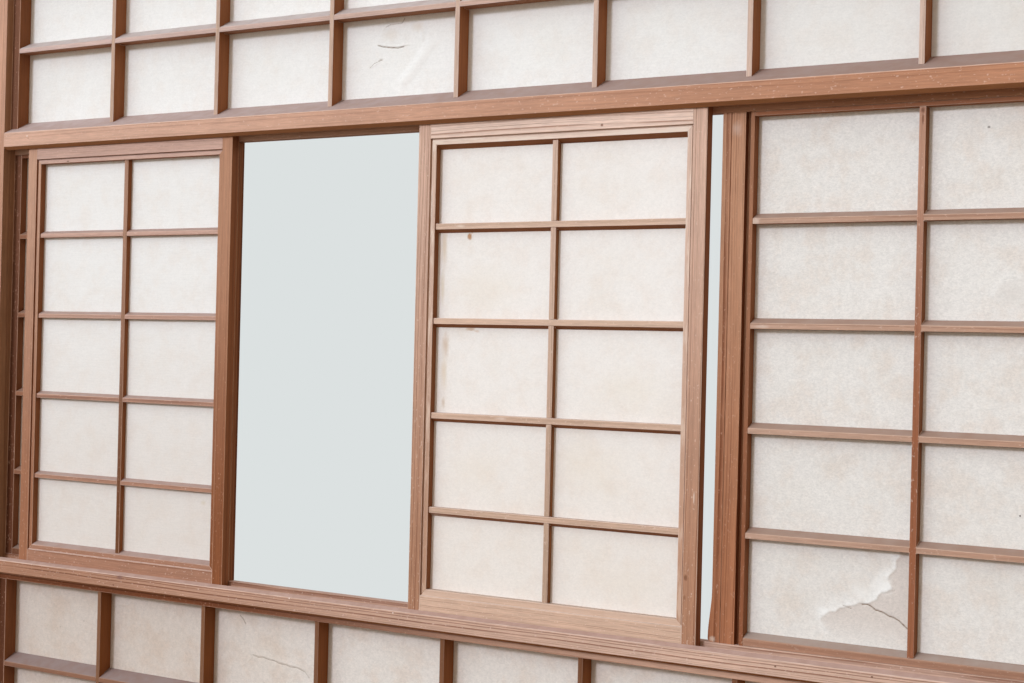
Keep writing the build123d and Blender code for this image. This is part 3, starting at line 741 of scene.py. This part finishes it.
def makeSheet(node):
    look = paperLooks[node]
    low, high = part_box(node)
    size = (high - low) / mm
    shape = bmesh.new()
    bmesh.ops.create_grid(shape, x_segments=round(size.x / paperMake["grid"]),
                          y_segments=round(size.z / paperMake["grid"]), size=0.5)
    bmesh.ops.scale(shape, vec=(high.x - low.x, high.z - low.z, 1), verts=shape.verts)
    bmesh.ops.rotate(shape, cent=(0, 0, 0), matrix=Matrix.Rotation(math.pi / 2, 3, "X"), verts=shape.verts)
    bmesh.ops.translate(shape, vec=((low.x + high.x) / 2, low.y, (low.z + high.z) / 2), verts=shape.verts)
    boxes = featureBoxes(look["features"])
    cuts = round(paperMake["grid"] / paperMake["fineGrid"]) - 1
    halo = paperMake["halo"]
    for left, right, bottom, top in boxes:
        near = [edge for edge in shape.edges if edge.calc_length() > paperMake["fineFrom"] * mm and all(
            left - halo < vert.co.x / mm < right + halo and bottom - halo < vert.co.z / mm < top + halo
            for vert in edge.verts)]
        bmesh.ops.subdivide_edges(shape, edges=near, cuts=cuts, use_grid_fill=True)
    peelLayer = shape.verts.layers.float.new("peeled")
    rimLayer = shape.verts.layers.float.new("thinned")
    crackLayer = shape.verts.layers.float.new("cracked")
    across, upwards = pastedStretches(node)
    sideEdge, endEdge = paperMake["panelPastedEdge" if "panel" in node else "pastedEdge"]
    across += [(low.x / mm - 1, low.x / mm + sideEdge), (high.x / mm - sideEdge, high.x / mm + 1)]
    upwards += [(low.z / mm - 1, low.z / mm + endEdge), (high.z / mm - endEdge, high.z / mm + 1)]
    heldTo, slackOver = paperMake["free"]
    broadX, broadZ = paperMake["broadWave"]
    smallWave = paperMake["smallWave"]
    for vert in shape.verts:
        x, z = vert.co.x / mm, vert.co.z / mm
        gap = min(gapTo(x, across), gapTo(z, upwards))
        free = clamped((gap - heldTo) / slackOver) ** paperMake["freeCurve"]
        broad = noise.noise(Vector((x / broadX, 3.1, z / broadZ)))
        small = noise.noise(Vector((x / smallWave, 7.7, z / smallWave)))
        lift = look["slack"] * free * (broad + paperMake["smallShare"] * small)
        for feature, (left, right, bottom, top) in zip(look["features"], boxes):
            if left < x < right and bottom < z < top:
                rise, peeled, thinned, cracked = featureLift(feature, x, z)
                lift += rise * min(1, gap / paperMake["featureFree"])
                vert[rimLayer] = max(vert[rimLayer], thinned)
                vert[peelLayer] = max(vert[peelLayer], peeled)
                vert[crackLayer] = max(vert[crackLayer], cracked)
        vert.co.y -= lift * mm
    for face in shape.faces:
        face.smooth = True
    mesh = bpy.data.meshes.new(node.replace("_", "") + "Sheet")
    shape.to_mesh(mesh)
    shape.free()
    sheet = bpy.data.objects.new(node.replace("_paper", "_sheet"), mesh)
    bpy.context.scene.collection.objects.link(sheet)
    skin = sheet.modifiers.new("thickness", "SOLIDIFY")
    skin.thickness = paperMake["thickness"] * mm
    skin.offset = -1
    mesh.materials.append(makePaper(node))
    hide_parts(node)
    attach(sheet, look["body"])


# Fibres, laid lines and clouds by their noise scales, and the tints by what they stain

paperSkin = dict(
    fibres=(430, 430, 700), mottle=240, clouds=16, laid=(60, 60, 700), blushScale=48, patchScale=90,
    dirt=(236, 226, 212), blush=(247, 238, 231), thin=(246, 244, 241), bare=(214, 203, 195),
    crack=(118, 88, 60), fibreDepth=(0.04, 0.035), mottleDepth=(0.04, 0.03), laidDepth=(0.025, 0.02),
    rough=(0.85, 0.98), bumpDepth=0.25 * mm, bumpStrength=0.3, gloss=0.15)


def uneven(tree, value, low, high, depth, amount):
    # Brightness from the noise value: below 1 by the first depth and above it by the second
    darker, lighter = depth
    return remap(tree, value, low, high, 1 - darker * amount, 1 + lighter * amount)


def makePaper(node):
    look = paperLooks[node]
    words = node.split("_")
    material, tree, shader = newMaterial(words[0] + "".join(word.title() for word in words[1:]))
    place = newNode(tree, "ShaderNodeTexCoord").outputs["Object"]
    split = newNode(tree, "ShaderNodeSeparateXYZ", {0: place}).outputs
    axis, start, end = look["fade"]
    fibres = noiseAt(tree, scaled(tree, place, paperSkin["fibres"]), 1.0, 4.0, 0.7, 0.8)
    mottle = noiseAt(tree, place, paperSkin["mottle"], 3.0, 0.6)
    clouds = noiseAt(tree, place, paperSkin["clouds"], 4.0, 0.55)
    laid = noiseAt(tree, scaled(tree, place, paperSkin["laid"]), 1.0, 2.0, 0.6)
    # The fade towards low is partly painted shade where the light falls off, and partly stain.
    colour = mixColour(tree, remap(tree, split[axis], start, end), tint(*look["low"]), tint(*look["high"]))
    dirty = calc(tree, "MULTIPLY", remap(tree, clouds, 0.45, 0.75), look["dirt"])
    colour = mixColour(tree, dirty, colour, tint(*paperSkin["dirt"]), "MULTIPLY")
    blush = remap(tree, noiseAt(tree, place, paperSkin["blushScale"], 4.0, 0.6), 0.42, 0.7)
    blush = calc(tree, "MULTIPLY", blush, look["blush"])
    colour = mixColour(tree, blush, colour, tint(*paperSkin["blush"]), "MULTIPLY")
    if look["features"]:
        peeled, thinned, cracked = (newNode(tree, "ShaderNodeAttribute", attribute_name=name).outputs["Fac"]
                                    for name in ("peeled", "thinned", "cracked"))
        patches = remap(tree, noiseAt(tree, place, paperSkin["patchScale"], 3.0), 0.35, 0.6, 0.2, 0.7)
        worn = calc(tree, "MULTIPLY", thinned, patches)
        colour = mixColour(tree, worn, colour, tint(*paperSkin["thin"]))
        colour = mixColour(tree, peeled, colour, tint(*paperSkin["bare"]))
        dark = remap(tree, cracked, 0.1, 0.8, 0.0, 0.95)
        colour = mixColour(tree, dark, colour, tint(*paperSkin["crack"]))
    speckle = calc(tree, "MULTIPLY",
                   uneven(tree, fibres, 0.25, 0.75, paperSkin["fibreDepth"], look["grain"]),
                   uneven(tree, mottle, 0.3, 0.7, paperSkin["mottleDepth"], look["mottle"]))
    lines = uneven(tree, laid, 0.3, 0.7, paperSkin["laidDepth"], look["laid"])
    colour = shaded(tree, colour, calc(tree, "MULTIPLY", speckle, lines))
    colour = addMarks(tree, colour, place, look["marks"])
    plug(tree, shader.inputs["Base Color"], colour)
    plug(tree, shader.inputs["Roughness"], remap(tree, mottle, 0.2, 0.8, *paperSkin["rough"]))
    height = calc(tree, "ADD", calc(tree, "MULTIPLY", fibres, 0.5), calc(tree, "MULTIPLY", mottle, 0.5))
    bump = newNode(tree, "ShaderNodeBump", {"Strength": paperSkin["bumpStrength"],
                                            "Distance": paperSkin["bumpDepth"], "Height": height})
    plug(tree, shader.inputs["Normal"], bump.outputs[0])
    shader.inputs["Specular IOR Level"].default_value = paperSkin["gloss"]
    return material


for node in paperLooks:
    makeSheet(node)
print("paper sheets made:", len(paperLooks))


# Stage: a pale floor, and a pale wall close behind that only the camera sees, and only from the front

stageLook = dict(floorSeen=(238, 236, 232), floorLit=(150, 136, 122), floorGlow=0.2, floorRough=0.9,
                 wallColour=(220, 225, 225), wallGap=60 * mm, reach=4.0)
lighting = dict(
    worldColour=(1.0, 0.82, 0.64), world=0.50, seenWorld=0.9,
    window=dict(energy=1.38, colour=(0.845, 0.875, 1.0), softness=9, side=18, height=20),
    openDoor=dict(energy=1.71, colour=(0.72, 0.917, 1.0), softness=75, side=38, height=35),
    backRoom=dict(energy=0.8, colour=(1.0, 0.98, 0.95), softness=25, side=-155, height=35))


def plane(name, corners):
    mesh = bpy.data.meshes.new(name)
    shape = bmesh.new()
    shape.faces.new([shape.verts.new(corner) for corner in corners])
    shape.to_mesh(mesh)
    shape.free()
    made = bpy.data.objects.new(name, mesh)
    bpy.context.scene.collection.objects.link(made)
    return made


def seenRays(tree):
    # 1 for what the camera sees itself, in gloss or through glass
    path = newNode(tree, "ShaderNodeLightPath").outputs
    mirrored = calc(tree, "MAXIMUM", path["Is Glossy Ray"], path["Is Transmission Ray"])
    return calc(tree, "MAXIMUM", path["Is Camera Ray"], mirrored)


def makeStage():
    reach = stageLook["reach"]
    wallY = cadBox[1][1] + stageLook["wallGap"]
    floor = plane("floor", [(-reach, -reach, 0), (reach, -reach, 0), (reach, reach, 0), (-reach, reach, 0)])
    material, tree, shader = newMaterial("floorPaint")
    seen = seenRays(tree)
    colour = mixColour(tree, seen, tint(*stageLook["floorLit"]), tint(*stageLook["floorSeen"]))
    plug(tree, shader.inputs["Base Color"], colour)
    plug(tree, shader.inputs["Emission Strength"], calc(tree, "MULTIPLY", seen, stageLook["floorGlow"]))
    shader.inputs["Emission Color"].default_value = (1, 1, 1, 1)
    shader.inputs["Roughness"].default_value = stageLook["floorRough"]
    shader.inputs["Specular IOR Level"].default_value = 0.0
    floor.data.materials.append(material)

    wall = plane("wall", [(-reach, wallY, 0), (reach, wallY, 0), (reach, wallY, reach),
                          (-reach, wallY, reach)])
    material, tree, shader = newMaterial("wallPaint")
    tree.nodes.remove(shader)
    front = calc(tree, "SUBTRACT", 1.0, newNode(tree, "ShaderNodeNewGeometry").outputs["Backfacing"])
    clear = newNode(tree, "ShaderNodeBsdfTransparent").outputs[0]
    paint = newNode(tree, "ShaderNodeEmission", {"Color": tint(*stageLook["wallColour"])}).outputs[0]
    mix = newNode(tree, "ShaderNodeMixShader", {0: calc(tree, "MULTIPLY", seenRays(tree), front), 1: clear,
                                                2: paint})
    plug(tree, tree.nodes["Material Output"].inputs["Surface"], mix.outputs[0])
    wall.data.materials.append(material)


def makeSun(name):
    look = lighting[name]
    sun = bpy.data.lights.new(name, "SUN")
    sun.energy = look["energy"]
    sun.angle = math.radians(look["softness"])
    sun.color = look["colour"]
    lamp = bpy.data.objects.new(name, sun)
    side, height = math.radians(look["side"]), math.radians(look["height"])
    towardsLight = Vector((-math.sin(side) * math.cos(height), -math.cos(side) * math.cos(height),
                           math.sin(height)))
    lamp.rotation_mode = "QUATERNION"
    lamp.rotation_quaternion = towardsLight.to_track_quat("Z", "Y")
    lamp.location = towardsLight * 2
    bpy.context.scene.collection.objects.link(lamp)


def makeLights():
    world = bpy.data.worlds.new("studio")
    bpy.context.scene.world = world
    world.use_nodes = True
    tree = world.node_tree
    sky = tree.nodes["Background"]
    sky.inputs["Color"].default_value = (*lighting["worldColour"], 1)
    sky.inputs["Strength"].default_value = lighting["world"]
    pale = newNode(tree, "ShaderNodeBackground", {"Color": (1, 1, 1, 1), "Strength": lighting["seenWorld"]})
    mix = newNode(tree, "ShaderNodeMixShader", {0: seenRays(tree), 1: sky.outputs[0], 2: pale.outputs[0]})
    plug(tree, tree.nodes["World Output"].inputs["Surface"], mix.outputs[0])
    for name in ("window", "openDoor", "backRoom"):
        makeSun(name)


makeStage()
makeLights()
bpy.context.scene.view_settings.view_transform = "Standard"
print("stage and lights made")
